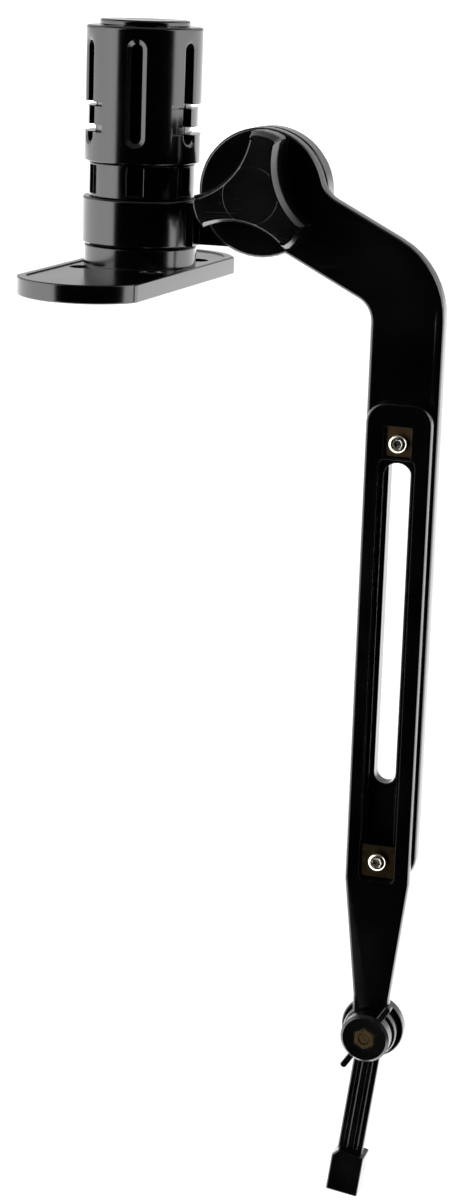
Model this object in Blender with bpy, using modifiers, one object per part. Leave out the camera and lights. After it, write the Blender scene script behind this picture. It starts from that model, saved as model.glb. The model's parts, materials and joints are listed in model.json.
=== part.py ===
"""Adjustable transducer arm on a slotted rod-holder post, modelled in metres with +Z up.

The underside of the base plate is at Z = 0 and the post's axis is the Z axis. The arm hinges in
the XZ plane and its face looks along -Y.
"""
import math

import bmesh
import bpy
from mathutils import Matrix, Vector

MM = 0.001
CLEARANCE = 0.3 * MM  # gap between two pieces that touch
RUNNING_GAP = 0.45 * MM  # gap between a piece and what it turns or slides on

# base plate and its boss
BASE_TURN = math.radians(-3.6)  # how far the base stands turned from square to the arm
PLATE_WIDTH = 56 * MM
PLATE_LENGTH = 149.8 * MM
PLATE_THICKNESS = 8 * MM
PLATE_SHIFT = -12.1 * MM  # middle of the plate, along Y from the post
PLATE_END_RISE = 18 * MM  # height of the arc that rounds each end
PLATE_RIM = 3.4 * MM  # border round the sunk top face
PLATE_SINK = 0.5 * MM
DECK_HOLE_RADIUS = 2.9 * MM
DECK_HOLE_PITCH = 33 * MM  # across the plate
DECK_HOLE_REACH = 26 * MM  # along the plate, either way from the post
BOSS_RADIUS = 25 * MM
BOSS_HEIGHT = 8.6 * MM

# upright post
SPIGOT_RADIUS = 19.6 * MM
COLLAR_HEIGHT = 20.4 * MM
NECK_RADIUS = 23.4 * MM
NECK_HEIGHT = 15 * MM
CORE_RADIUS = 18.2 * MM
SLEEVE_RADIUS = 25.6 * MM
SLEEVE_HEIGHT = 58.1 * MM
SLOT_COUNT = 6
SLOT_WIDTH = 7.6 * MM
SLOT_PHASE = math.radians(14.9)  # first slot, from -Y towards +X
SLOT_FLOOR_RADIUS = 20.6 * MM
SLOT_TOP_MARGIN = 5.6 * MM
SLOT_BOTTOM_MARGIN = 7.6 * MM
NOTCH_HALF_ANGLE = math.radians(54)  # each side notch reaches this far either way
NOTCH_FLOOR_RADIUS = 21 * MM
NOTCH_BOTTOM = 12.6 * MM  # wide lower notch, above the sleeve's lower end
NOTCH_HEIGHT = 3.2 * MM
LAND_HEIGHT = 7.9 * MM  # land between the wide notch and the narrow one
LAND_RADIUS = 24.3 * MM
NARROW_NOTCH = 2 * MM
NECK_GROOVE_DEPTH = 2 * MM
NECK_GROOVE_MARGIN = 1.4 * MM  # neck left whole above and below its grooves
CAP_RADIUS = 19.8 * MM
CAP_HEIGHT = 2.4 * MM
COIN_SLOT_LENGTH = 18 * MM
COIN_SLOT_WIDTH = 2.2 * MM
POST_BOLT_RADIUS = 4 * MM
POST_HEAD_RADIUS = 6.5 * MM
POST_HEAD_HEIGHT = 8 * MM
POST_HEAD_POCKET = 12.5 * MM  # depth of the pocket in the core's top
POST_WASHER = 1.2 * MM
INSERT_FLATS = 13 * MM  # hexagon insert in the boss
INSERT_FLOOR = 3.4 * MM  # plate left under the insert

# collar and hinge
COLLAR_RADIUS = 26 * MM
BUSH_THICKNESS = 2 * MM
HINGE_X = 57.5 * MM
HINGE_HEIGHT = 42.8 * MM
HINGE_RADIUS = 28 * MM
CHEEK_DEPTH = 11 * MM
FRICTION_WASHER = 0.7 * MM
FRICTION_WASHER_RADIUS = 22 * MM
PIVOT_BOLT_RADIUS = 4 * MM
PIVOT_FLATS = 13 * MM
BOLT_HEAD = 5.3 * MM

# upper arm
ARM_DEPTH = 8.3 * MM
ARM_WIDTH = 32.4 * MM
NECK_WIDTH = 31.5 * MM
NECK_DROP = 1.5 * MM  # neck's middle line below the hinge's centre
NECK_HOLLOW = 13 * MM  # hollow where the disc runs into the neck's top edge
NECK_ANGLE = math.radians(27)  # fall of the arm's neck from the hinge to the elbow
LEG_X = 125.2 * MM
LEG_END = -263 * MM
LEG_CORNER = 12 * MM
ELBOW_OUTER = 38 * MM
ELBOW_INNER = 11 * MM
ARM_BEVEL = 1.5 * MM

# telescoping lower arm
LOWER_ARM_DEPTH = 6 * MM
LOWER_ARM_WIDTH = 29.6 * MM
LOWER_ARM_TOP = -43 * MM
UPPER_SCREW_Z = -60.6 * MM
LOWER_SCREW_Z = -252.3 * MM
FRONT_SLOT_WIDTH = 12.8 * MM
REAR_SLOT_WIDTH = 9.8 * MM
CHANNEL_WIDTH = 16.4 * MM
CHANNEL_DEPTH = 2.8 * MM
REAR_CHANNEL_WIDTH = 20 * MM
REAR_CHANNEL_DEPTH = 1.2 * MM
FRONT_SLOT_TOP = -69.4 * MM
REAR_SLOT_BOTTOM = -217 * MM
TAPER_TOP = -262 * MM
TAPER_BOTTOM = -318 * MM
TAPER_WIDTH = 16.8 * MM
EYE_RADIUS = 12.5 * MM
CLAMP_SCREW_RADIUS = 2.5 * MM
CLAMP_HEAD_RADIUS = 4.2 * MM
CLAMP_HEAD_HEIGHT = 2.5 * MM
CLAMP_PLATE_HEIGHT = 15 * MM
CLAMP_PLATE_THICKNESS = 1.2 * MM
CLAMP_NUT_FLATS = 8 * MM
CLAMP_NUT_HEIGHT = 3.2 * MM
HEAD_WASHER_THICKNESS = 0.8 * MM  # square washer under the upper screw's head
POCKET_HALF = 6.2 * MM  # pocket round the upper screw's head

# knob of the hinge
KNOB_DEPTH = 14 * MM
KNOB_REACH = 27.2 * MM
KNOB_WAIST = 13 * MM
KNOB_LOBE = 14.4 * MM  # width of a lobe's flat end
KNOB_TURN = math.radians(79)  # first lobe, from +X towards +Z
KNOB_BEVEL = 2.2 * MM
KNOB_WASHER = 1 * MM
INSERT_RADIUS = 7 * MM  # round insert in the knob

# bracket at the lower end
BRACKET_Z = -335 * MM
BRACKET_TILT = math.radians(7)
BRACKET_DEPTH = 5.3 * MM
BRACKET_EYE_RADIUS = 14.6 * MM
STEM_WIDTH = 12 * MM
BRACKET_LENGTH = 85 * MM
FOOT_WIDTH = 15.2 * MM
FOOT_HEIGHT = 20 * MM
FOOT_DEPTH = 12 * MM
WING_HUB_RADIUS = 11.4 * MM
WING_HUB_DEPTH = 7 * MM
WING_SPAN = 38 * MM
WING_THICKNESS = 3 * MM
WING_TURN = math.radians(57)
FOOT_BOLT_RADIUS = 2.5 * MM
WING_NUT = 4 * MM
WING_NUT_FLATS = 9 * MM

# heights and depths worked out from the sizes above
BOSS_TOP = PLATE_THICKNESS + BOSS_HEIGHT
COLLAR_BOTTOM = BOSS_TOP + CLEARANCE
COLLAR_TOP = COLLAR_BOTTOM + COLLAR_HEIGHT
NECK_BOTTOM = COLLAR_TOP + CLEARANCE
NECK_TOP = NECK_BOTTOM + NECK_HEIGHT
SLEEVE_BOTTOM = NECK_TOP + CLEARANCE
SLEEVE_TOP = SLEEVE_BOTTOM + SLEEVE_HEIGHT
CAP_BOTTOM = SLEEVE_TOP + CLEARANCE
CORE_TOP = SLEEVE_TOP - 0.5 * MM
HEAD_POCKET_RADIUS = POST_HEAD_RADIUS + 3 * MM
HEAD_SEAT = CORE_TOP - POST_HEAD_POCKET

ARM_BACK = -(FRICTION_WASHER + 2 * CLEARANCE)
ARM_FRONT = ARM_BACK - ARM_DEPTH
LOWER_ARM_BACK = ARM_FRONT - CLEARANCE
LOWER_ARM_FRONT = LOWER_ARM_BACK - LOWER_ARM_DEPTH
CHANNEL_FLOOR = LOWER_ARM_FRONT + CHANNEL_DEPTH
REAR_CHANNEL_FLOOR = ARM_BACK - REAR_CHANNEL_DEPTH
KNOB_WASHER_BACK = ARM_FRONT - CLEARANCE
KNOB_BACK = KNOB_WASHER_BACK - KNOB_WASHER - CLEARANCE
KNOB_FRONT = KNOB_BACK - KNOB_DEPTH
BRACKET_FRONT = LOWER_ARM_BACK + CLEARANCE
BRACKET_BACK = BRACKET_FRONT + BRACKET_DEPTH
WING_BACK = LOWER_ARM_FRONT - 2 * CLEARANCE - KNOB_WASHER
WING_FRONT = WING_BACK - WING_HUB_DEPTH

HINGE = Vector((HINGE_X, 0, HINGE_HEIGHT))
FOOT_PIVOT = Vector((LEG_X, 0, BRACKET_Z))


# ---------------------------------------------------------------- scene and materials
for old in list(bpy.data.objects):
    bpy.data.objects.remove(old, do_unlink=True)

parts = bpy.data.collections.new("transducer_arm")
tools = bpy.data.collections.new("cutters")
for group in (parts, tools):
    bpy.context.scene.collection.children.link(group)


def material(name, colour, roughness, metallic=0.0):
    mat = bpy.data.materials.new(name)
    mat.use_nodes = True
    shader = mat.node_tree.nodes["Principled BSDF"]
    shader.inputs["Base Color"].default_value = (*colour, 1)
    shader.inputs["Roughness"].default_value = roughness
    shader.inputs["Metallic"].default_value = metallic
    return mat


NYLON = material("black_nylon", (0.012, 0.012, 0.013), 0.32)
DARK_NYLON = material("dark_nylon", (0.02, 0.02, 0.021), 0.45)
ACETAL = material("acetal", (0.75, 0.74, 0.7), 0.4)
STEEL = material("stainless_steel", (0.7, 0.68, 0.64), 0.25, 1.0)
BRASS = material("brass", (0.72, 0.55, 0.28), 0.3, 1.0)
RUBBER = material("rubber", (0.03, 0.03, 0.03), 0.8)


# ---------------------------------------------------------------- modelling helpers
def add_object(name, mesh, mat=None, group=parts):
    obj = bpy.data.objects.new(name, mesh)
    group.objects.link(obj)
    if group is tools:
        obj.hide_render = True
        obj.display_type = "WIRE"
    if mat:
        mesh.materials.append(mat)
    return obj


def finish_mesh(bm, name, sharp=30):
    bmesh.ops.recalc_face_normals(bm, faces=bm.faces)
    mesh = bpy.data.meshes.new(name)
    bm.to_mesh(mesh)
    bm.free()
    mesh.shade_smooth()
    mesh.set_sharp_from_angle(angle=math.radians(sharp))
    return mesh


def box(name, low, high, mat=None, group=tools):
    """Box between two corners."""
    bm = bmesh.new()
    middle = (Vector(low) + Vector(high)) / 2
    size = Vector(high) - Vector(low)
    bmesh.ops.create_cube(bm, size=1, matrix=Matrix.Translation(middle) @ Matrix.Diagonal((*size, 1)))
    return add_object(name, finish_mesh(bm, name), mat, group)


def rod(name, centre, radius, start, end, along="Y", sides=32, mat=None, group=tools):
    """Cylinder, or a prism of few sides, from start to end along Y or Z."""
    bm = bmesh.new()
    middle = (start + end) / 2
    place = Matrix.Translation(Vector(centre) + Vector((0, middle, 0) if along == "Y" else (0, 0, middle)))
    if along == "Y":
        place = place @ Matrix.Rotation(math.radians(90), 4, "X")
    bmesh.ops.create_cone(bm, cap_ends=True, segments=sides, radius1=radius, radius2=radius,
                          depth=abs(end - start), matrix=place)
    return add_object(name, finish_mesh(bm, name), mat, group)


def hexagon(name, centre, flats, start, end, along="Y", mat=None, group=tools):
    """Six-sided prism given by its width across flats."""
    return rod(name, centre, flats / math.sqrt(3), start, end, along, 6, mat, group)


def turned(name, profile, mat=None, group=parts, centre=(0, 0, 0), along="Z", steps=48, closed=False):
    """Turn a profile of (radius, height) points; on Y the height grows towards +Y."""
    bm = bmesh.new()
    points = [bm.verts.new((radius, 0, height)) for radius, height in profile]
    for one, two in zip(points, points[1:]):
        bm.edges.new((one, two))
    if closed:
        bm.edges.new((points[-1], points[0]))
    mesh = bpy.data.meshes.new(name)
    bm.to_mesh(mesh)
    bm.free()
    obj = add_object(name, mesh, mat, group)
    obj.location = centre
    if along == "Y":
        obj.rotation_euler.x = math.radians(-90)
    screw = obj.modifiers.new("turn", "SCREW")
    screw.steps = steps
    screw.render_steps = steps
    screw.use_merge_vertices = True
    screw.merge_threshold = 0.00001
    return obj


def arc(centre, radius, start, end, steps):
    """Points on an arc between two angles."""
    return [(centre[0] + radius * math.cos(start + (end - start) * i / steps),
             centre[1] + radius * math.sin(start + (end - start) * i / steps)) for i in range(steps + 1)]


def rounded(corners, steps=5):
    """Outline through (x, z, radius) corners, each rounded by its radius."""
    outline = []
    for i, (x, z, radius) in enumerate(corners):
        here = Vector((x, z))
        if radius == 0:
            outline.append((x, z))
            continue
        back = (Vector(corners[i - 1][:2]) - here).normalized()
        ahead = (Vector(corners[(i + 1) % len(corners)][:2]) - here).normalized()
        half = back.angle(ahead) / 2
        centre = here + (back + ahead).normalized() * radius / math.sin(half)
        first = here + back * radius / math.tan(half) - centre
        turn = first.angle_signed(here + ahead * radius / math.tan(half) - centre)
        start = math.atan2(first.y, first.x)
        outline += arc(centre, radius, start, start - turn, steps)
    return outline


def slab(name, outline, low, high, mat=None, group=parts, bevel=0.0, lying=False, segments=2):
    """Flat outline given a thickness: standing in XZ between two Y values, or lying between two Z."""
    curve = bpy.data.curves.new(name, "CURVE")
    curve.dimensions = "2D"
    curve.fill_mode = "BOTH"
    curve.extrude = abs(high - low) / 2
    spline = curve.splines.new("POLY")
    spline.points.add(len(outline) - 1)
    for point, (x, y) in zip(spline.points, outline):
        point.co = (x, y, 0, 1)
    spline.use_cyclic_u = True
    source = bpy.data.objects.new(name + "_outline", curve)
    parts.objects.link(source)
    middle = (low + high) / 2
    source.location = (0, 0, middle) if lying else (0, middle, 0)
    source.rotation_euler.x = 0 if lying else math.radians(90)
    bpy.context.view_layer.update()
    mesh = bpy.data.meshes.new_from_object(source.evaluated_get(bpy.context.evaluated_depsgraph_get()))
    mesh.name = name
    bm = bmesh.new()
    bm.from_mesh(mesh)
    bmesh.ops.transform(bm, matrix=source.matrix_world, verts=bm.verts)
    bmesh.ops.remove_doubles(bm, verts=bm.verts, dist=0.00001)
    bmesh.ops.dissolve_limit(bm, angle_limit=math.radians(0.5), verts=bm.verts, edges=bm.edges)
    bpy.data.objects.remove(source, do_unlink=True)
    bpy.data.meshes.remove(mesh)
    obj = add_object(name, finish_mesh(bm, name), mat, group)
    if bevel:
        edge = obj.modifiers.new("edges", "BEVEL")
        edge.width = bevel
        edge.segments = segments
        edge.limit_method = "ANGLE"
        edge.angle_limit = math.radians(60)
        edge.miter_outer = "MITER_SHARP"
        edge.use_clamp_overlap = True
    return obj


def combine(target, others, operation):
    """Cut or join other shapes; they follow the target wherever it is placed."""
    bpy.context.view_layer.update()
    for other in others:
        change = target.modifiers.new(other.name, "BOOLEAN")
        change.operation = operation
        change.solver = "EXACT"
        change.object = other
        other.parent = target
        other.matrix_parent_inverse = target.matrix_world.inverted()
    return target


def cut(target, *others):
    return combine(target, others, "DIFFERENCE")


def join(target, *others):
    return combine(target, others, "UNION")


def long_slot(name, x, bottom, top, width, front, back):
    """Cutter for an upright slot with round ends."""
    radius = width / 2
    outline = arc((x, top - radius), radius, 0, math.pi, 10)
    outline += arc((x, bottom + radius), radius, math.pi, 2 * math.pi, 10)
    return slab(name, outline, front, back, group=tools)


def body(name, place, pieces, parent=None):
    """Empty on a joint's axis that carries the pieces of one moving body."""
    pivot = bpy.data.objects.new(name, None)
    parts.objects.link(pivot)
    pivot.location = place
    bpy.context.view_layer.update()
    if parent:
        pivot.parent = parent
        pivot.matrix_parent_inverse = parent.matrix_world.inverted()
    bpy.context.view_layer.update()
    for piece in pieces:
        piece.parent = pivot
        piece.matrix_parent_inverse = pivot.matrix_world.inverted()
    bpy.context.view_layer.update()
    return pivot


# ---------------------------------------------------------------- base and post
def plate_outline(inset=0.0):
    """Long plate along Y, its two ends rounded by a shallow arc."""
    half_width = PLATE_WIDTH / 2 - inset
    rise = PLATE_END_RISE
    end = PLATE_LENGTH / 2 - inset
    radius = (half_width ** 2 + rise ** 2) / (2 * rise)
    spread = math.asin(min(1.0, half_width / radius))
    if rise > radius:
        spread = math.pi - spread
    front = arc((0, PLATE_SHIFT - end + radius), radius, -math.pi / 2 - spread, -math.pi / 2 + spread, 18)
    back = arc((0, PLATE_SHIFT + end - radius), radius, math.pi / 2 - spread, math.pi / 2 + spread, 18)
    return front + back


def make_base_plate():
    plate = slab("base_plate", plate_outline(), 0, PLATE_THICKNESS, NYLON, bevel=0.7 * MM, lying=True)
    sunk = slab("plate_sink", plate_outline(PLATE_RIM), PLATE_THICKNESS - PLATE_SINK,
                PLATE_THICKNESS + MM, group=tools, lying=True)
    cut(plate, sunk)
    edge = 0.8 * MM
    boss = turned("boss", [(0, BOSS_TOP), (BOSS_RADIUS - edge, BOSS_TOP), (BOSS_RADIUS, BOSS_TOP - edge),
                           (BOSS_RADIUS, PLATE_THICKNESS / 2), (0, PLATE_THICKNESS / 2)], group=tools)
    join(plate, boss)
    cut(plate, hexagon("insert_pocket", (0, 0, 0), INSERT_FLATS + 2 * CLEARANCE, INSERT_FLOOR,
                       BOSS_TOP + MM, "Z"))
    for side in (-1, 1):
        for end in (-1, 1):
            place = (side * DECK_HOLE_PITCH / 2, end * DECK_HOLE_REACH, 0)
            sink = DECK_HOLE_RADIUS * 1.9
            top = PLATE_THICKNESS - PLATE_SINK
            hole = turned("deck_hole", [(0, top + MM), (sink, top + MM), (sink, top - 0.6 * MM),
                                        (DECK_HOLE_RADIUS, top - 0.6 * MM - (sink - DECK_HOLE_RADIUS)),
                                        (DECK_HOLE_RADIUS, -MM), (0, -MM)],
                          group=tools, centre=place, steps=24)
            cut(plate, hole)
    return plate


def make_post_core():
    """Turned core: spigot in the collar, neck, and the shaft that carries the sleeve."""
    bore = POST_BOLT_RADIUS + RUNNING_GAP
    edge = 0.6 * MM
    core = turned("post_core", [
        (CORE_RADIUS - edge, CORE_TOP), (CORE_RADIUS, CORE_TOP - edge), (CORE_RADIUS, NECK_TOP),
        (NECK_RADIUS - edge, NECK_TOP), (NECK_RADIUS, NECK_TOP - edge), (NECK_RADIUS, NECK_BOTTOM),
        (SPIGOT_RADIUS, NECK_BOTTOM), (SPIGOT_RADIUS, COLLAR_BOTTOM), (bore, COLLAR_BOTTOM),
        (bore, HEAD_SEAT), (HEAD_POCKET_RADIUS, HEAD_SEAT), (HEAD_POCKET_RADIUS, CORE_TOP)],
        NYLON, closed=True)
    half = SLOT_WIDTH / 2
    for i in range(SLOT_COUNT):
        groove = box(f"neck_groove_{i}", (-half, -NECK_RADIUS - MM, NECK_BOTTOM + NECK_GROOVE_MARGIN),
                     (half, NECK_GROOVE_DEPTH - NECK_RADIUS, NECK_TOP - NECK_GROOVE_MARGIN))
        groove.rotation_euler.z = SLOT_PHASE + 2 * math.pi * i / SLOT_COUNT
        cut(core, groove)
    return core


def sector(name, profile, start, end, steps=24):
    """Cutter swept part of the way round Z from a closed profile of (radius, height) points."""
    bm = bmesh.new()
    rows = []
    for i in range(steps + 1):
        turn = start + (end - start) * i / steps
        rows.append([bm.verts.new((r * math.cos(turn), r * math.sin(turn), z)) for r, z in profile])
    for one, two in zip(rows, rows[1:]):
        for i in range(len(profile)):
            bm.faces.new((one[i - 1], one[i], two[i], two[i - 1]))
    bm.faces.new(rows[0])
    bm.faces.new(rows[-1])
    return add_object(name, finish_mesh(bm, name), group=tools)


def make_post_sleeve():
    """Sleeve with six blind upright slots and a pair of lock notches on each side."""
    inner = CORE_RADIUS + CLEARANCE
    top_edge = 1.4 * MM
    low_edge = 0.5 * MM
    outer = SLEEVE_RADIUS
    sleeve = turned("post_sleeve", [
        (outer - top_edge, SLEEVE_TOP), (outer, SLEEVE_TOP - top_edge), (outer, SLEEVE_BOTTOM + low_edge),
        (outer - low_edge, SLEEVE_BOTTOM), (inner, SLEEVE_BOTTOM), (inner, SLEEVE_TOP)], NYLON, steps=64,
        closed=True)
    radius = SLOT_WIDTH / 2
    high = SLEEVE_TOP - SLOT_TOP_MARGIN - radius
    low = SLEEVE_BOTTOM + SLOT_BOTTOM_MARGIN + radius
    outline = arc((0, high), radius, 0, math.pi, 8) + arc((0, low), radius, math.pi, 2 * math.pi, 8)
    for i in range(SLOT_COUNT):
        cutter = slab(f"post_slot_{i}", outline, -SLEEVE_RADIUS - MM, -SLOT_FLOOR_RADIUS, group=tools)
        cutter.rotation_euler.z = SLOT_PHASE + 2 * math.pi * i / SLOT_COUNT
        cut(sleeve, cutter)
    wide_low = SLEEVE_BOTTOM + NOTCH_BOTTOM
    wide_high = wide_low + NOTCH_HEIGHT
    land_high = wide_high + LAND_HEIGHT
    narrow_high = land_high + NARROW_NOTCH
    outside = SLEEVE_RADIUS + MM
    floor = NOTCH_FLOOR_RADIUS
    profile = [(outside, wide_low), (floor, wide_low), (floor, wide_high), (LAND_RADIUS, wide_high),
               (LAND_RADIUS, land_high), (floor, land_high), (floor, narrow_high), (outside, narrow_high)]
    for side, middle in (("right", SLOT_PHASE), ("left", SLOT_PHASE + math.pi)):
        cut(sleeve, sector("notches_" + side, profile, middle - NOTCH_HALF_ANGLE, middle + NOTCH_HALF_ANGLE))
    return sleeve


def make_post_cap():
    edge = 0.7 * MM
    top = CAP_BOTTOM + CAP_HEIGHT
    plug = HEAD_POCKET_RADIUS - CLEARANCE
    cap = turned("post_cap", [(0, top), (CAP_RADIUS - edge, top), (CAP_RADIUS, top - edge),
                              (CAP_RADIUS, CAP_BOTTOM), (plug, CAP_BOTTOM), (plug, CAP_BOTTOM - 3 * MM),
                              (0, CAP_BOTTOM - 3 * MM)], NYLON)
    half = COIN_SLOT_LENGTH / 2
    return cut(cap, box("coin_slot", (-half, -COIN_SLOT_WIDTH / 2, top - 1.4 * MM),
                        (half, COIN_SLOT_WIDTH / 2, top + MM)))


def ring(name, inner, outer, start, end, mat, centre=(0, 0, 0), along="Z"):
    """Plain washer between two places on its axis."""
    return turned(name, [(outer, end), (outer, start), (inner, start), (inner, end)], mat,
                  centre=centre, along=along, closed=True, steps=40)


def make_post_fastening():
    """Bolt with a socket head, its washer, and the hexagon insert in the boss that it threads into."""
    washer_bottom = HEAD_SEAT + CLEARANCE
    washer_top = washer_bottom + POST_WASHER
    washer = ring("post_washer", POST_BOLT_RADIUS + CLEARANCE, HEAD_POCKET_RADIUS - CLEARANCE,
                  washer_bottom, washer_top, STEEL)
    head_bottom = washer_top + CLEARANCE
    head_top = head_bottom + POST_HEAD_HEIGHT
    insert_bottom = INSERT_FLOOR + CLEARANCE
    bolt = turned("post_bolt", [(0, head_top), (POST_HEAD_RADIUS, head_top), (POST_HEAD_RADIUS, head_bottom),
                                (POST_BOLT_RADIUS, head_bottom), (POST_BOLT_RADIUS, insert_bottom),
                                (0, insert_bottom)], STEEL, steps=32)
    cut(bolt, hexagon("post_bolt_socket", (0, 0, 0), 6 * MM, head_top - 4 * MM, head_top + MM, "Z"))
    insert = hexagon("post_insert", (0, 0, 0), INSERT_FLATS, insert_bottom, BOSS_TOP - CLEARANCE, "Z",
                     BRASS, parts)
    cut(insert, rod("post_insert_bore", (0, 0, 0), POST_BOLT_RADIUS + CLEARANCE, 0, BOSS_TOP + MM, "Z"))
    return [bolt, washer, insert]


# ---------------------------------------------------------------- collar
def make_collar():
    """Clamp ring round the post, with the cheek that the arm hinges on."""
    edge = 0.7 * MM
    inner = SPIGOT_RADIUS + BUSH_THICKNESS + 2 * CLEARANCE
    collar = turned("arm_collar", [
        (COLLAR_RADIUS - edge, COLLAR_TOP), (COLLAR_RADIUS, COLLAR_TOP - edge),
        (COLLAR_RADIUS, COLLAR_BOTTOM + edge), (COLLAR_RADIUS - edge, COLLAR_BOTTOM),
        (inner, COLLAR_BOTTOM), (inner, COLLAR_TOP)], NYLON, closed=True)
    reach = HINGE_RADIUS * 0.6
    web = slab("collar_web", rounded([
        (inner + MM, COLLAR_BOTTOM + edge, 0), (HINGE_X - reach, COLLAR_BOTTOM + edge, 0),
        (HINGE_X, HINGE_HEIGHT - reach, 0), (HINGE_X, HINGE_HEIGHT + reach / 2, 0),
        (HINGE_X - HINGE_RADIUS * 0.9, HINGE_HEIGHT, 0), (COLLAR_RADIUS + MM, COLLAR_TOP - edge, 0),
        (inner + MM, COLLAR_TOP - edge, 0)]), 0, CHEEK_DEPTH - edge, group=tools)
    root_high = HINGE_X - HINGE_RADIUS - 2 * MM
    root = box("collar_root", (inner + 0.6 * MM, ARM_FRONT, COLLAR_BOTTOM + edge),
               (root_high, CHEEK_DEPTH - edge, COLLAR_TOP - edge))
    cheek = turned("collar_cheek", [(0, CHEEK_DEPTH), (HINGE_RADIUS - 2 * edge, CHEEK_DEPTH),
                                    (HINGE_RADIUS, CHEEK_DEPTH - 2 * edge), (HINGE_RADIUS, edge),
                                    (HINGE_RADIUS - edge, 0), (0, 0)],
                   group=tools, centre=HINGE, along="Y", steps=56)
    join(collar, root, web, cheek)
    bore = rod("collar_clear", (0, 0, 0), inner, COLLAR_BOTTOM - MM, COLLAR_TOP + MM, "Z", 48)
    hole = rod("cheek_hole", HINGE, PIVOT_BOLT_RADIUS + CLEARANCE, -MM, CHEEK_DEPTH + MM)
    pocket = hexagon("cheek_pocket", HINGE, PIVOT_FLATS + 2 * CLEARANCE, CHEEK_DEPTH - BOLT_HEAD,
                     CHEEK_DEPTH + MM)
    return cut(collar, bore, hole, pocket)


def make_collar_bush():
    start = SPIGOT_RADIUS + CLEARANCE
    return ring("collar_bush", start, start + BUSH_THICKNESS, COLLAR_BOTTOM + CLEARANCE,
                COLLAR_TOP - CLEARANCE, ACETAL)


def make_pivot_bolt():
    back = CHEEK_DEPTH - CLEARANCE
    bolt = hexagon("pivot_bolt", HINGE, PIVOT_FLATS, back - BOLT_HEAD + 2 * CLEARANCE, back, "Y", STEEL, parts)
    return join(bolt, rod("pivot_shank", HINGE, PIVOT_BOLT_RADIUS, KNOB_FRONT + 4.2 * MM, back - MM))


# ---------------------------------------------------------------- upper arm
def arm_outline():
    """Disc round the hinge, sloping neck, elbow and upright leg."""
    along = Vector((math.cos(NECK_ANGLE), -math.sin(NECK_ANGLE)))
    across = Vector((math.sin(NECK_ANGLE), math.cos(NECK_ANGLE)))
    hinge = Vector((HINGE_X, HINGE_HEIGHT))
    high = NECK_WIDTH / 2 - NECK_DROP
    low = NECK_WIDTH / 2 + NECK_DROP
    outer_x = LEG_X + ARM_WIDTH / 2
    inner_x = LEG_X - ARM_WIDTH / 2
    outer_corner = hinge + across * high + along * (outer_x - hinge.x - across.x * high) / along.x
    inner_corner = hinge - across * low + along * (inner_x - hinge.x + across.x * low) / along.x
    reach = HINGE_RADIUS + NECK_HOLLOW
    rise = math.asin((high + NECK_HOLLOW) / reach)
    fall = math.asin(low / HINGE_RADIUS)
    disc = arc(hinge, HINGE_RADIUS, rise - NECK_ANGLE, 2 * math.pi - fall - NECK_ANGLE, 40)
    middle = hinge + Vector((math.cos(rise - NECK_ANGLE), math.sin(rise - NECK_ANGLE))) * reach
    hollow = arc(middle, NECK_HOLLOW, -math.pi / 2 - NECK_ANGLE, rise - math.pi - NECK_ANGLE, 6)
    leg = rounded([disc[-1] + (0,), (inner_corner.x, inner_corner.y, ELBOW_INNER),
                   (inner_x, LEG_END, LEG_CORNER), (outer_x, LEG_END, LEG_CORNER),
                   (outer_corner.x, outer_corner.y, ELBOW_OUTER), hollow[0] + (0,)], 8)[1:-1]
    return disc + leg + hollow[:-1]


def make_upper_arm():
    arm = slab("upper_arm", arm_outline(), ARM_FRONT, ARM_BACK, NYLON, bevel=ARM_BEVEL)
    slot_top = UPPER_SCREW_Z + REAR_SLOT_WIDTH / 2
    slot = long_slot("rear_slot", LEG_X, REAR_SLOT_BOTTOM, slot_top, REAR_SLOT_WIDTH,
                     ARM_FRONT - MM, ARM_BACK + MM)
    half = REAR_CHANNEL_WIDTH / 2
    channel_top = UPPER_SCREW_Z + CLAMP_PLATE_HEIGHT / 2 + 2 * MM
    channel_low = LOWER_SCREW_Z - CLAMP_NUT_FLATS
    channel = slab("rear_channel", rounded([
        (LEG_X - half, channel_low, 2 * MM), (LEG_X + half, channel_low, 2 * MM),
        (LEG_X + half, channel_top, 2 * MM), (LEG_X - half, channel_top, 2 * MM)]),
        REAR_CHANNEL_FLOOR, ARM_BACK + MM, group=tools)
    return cut(arm, channel, slot,
               rod("arm_pivot_hole", HINGE, PIVOT_BOLT_RADIUS + CLEARANCE, ARM_FRONT - MM, ARM_BACK + MM),
               rod("lower_screw_hole", (LEG_X, 0, LOWER_SCREW_Z), CLAMP_SCREW_RADIUS + CLEARANCE,
                   ARM_FRONT - MM, ARM_BACK + MM, sides=24))


# ---------------------------------------------------------------- lower arm
def lower_arm_outline():
    half = LOWER_ARM_WIDTH / 2
    narrow = TAPER_WIDTH / 2
    meet = math.asin(narrow / EYE_RADIUS)
    eye = arc((LEG_X, BRACKET_Z), EYE_RADIUS, math.pi / 2 + meet, math.pi * 5 / 2 - meet, 28)
    body_side = rounded([
        (LEG_X + narrow, TAPER_BOTTOM, 6 * MM), (LEG_X + half, TAPER_TOP, 10 * MM),
        (LEG_X + half, LOWER_ARM_TOP, 9 * MM), (LEG_X - half, LOWER_ARM_TOP, 9 * MM),
        (LEG_X - half, TAPER_TOP, 10 * MM), (LEG_X - narrow, TAPER_BOTTOM, 6 * MM),
        eye[0] + (0,), eye[-1] + (0,)], 6)[:-2]
    return eye + body_side


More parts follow.
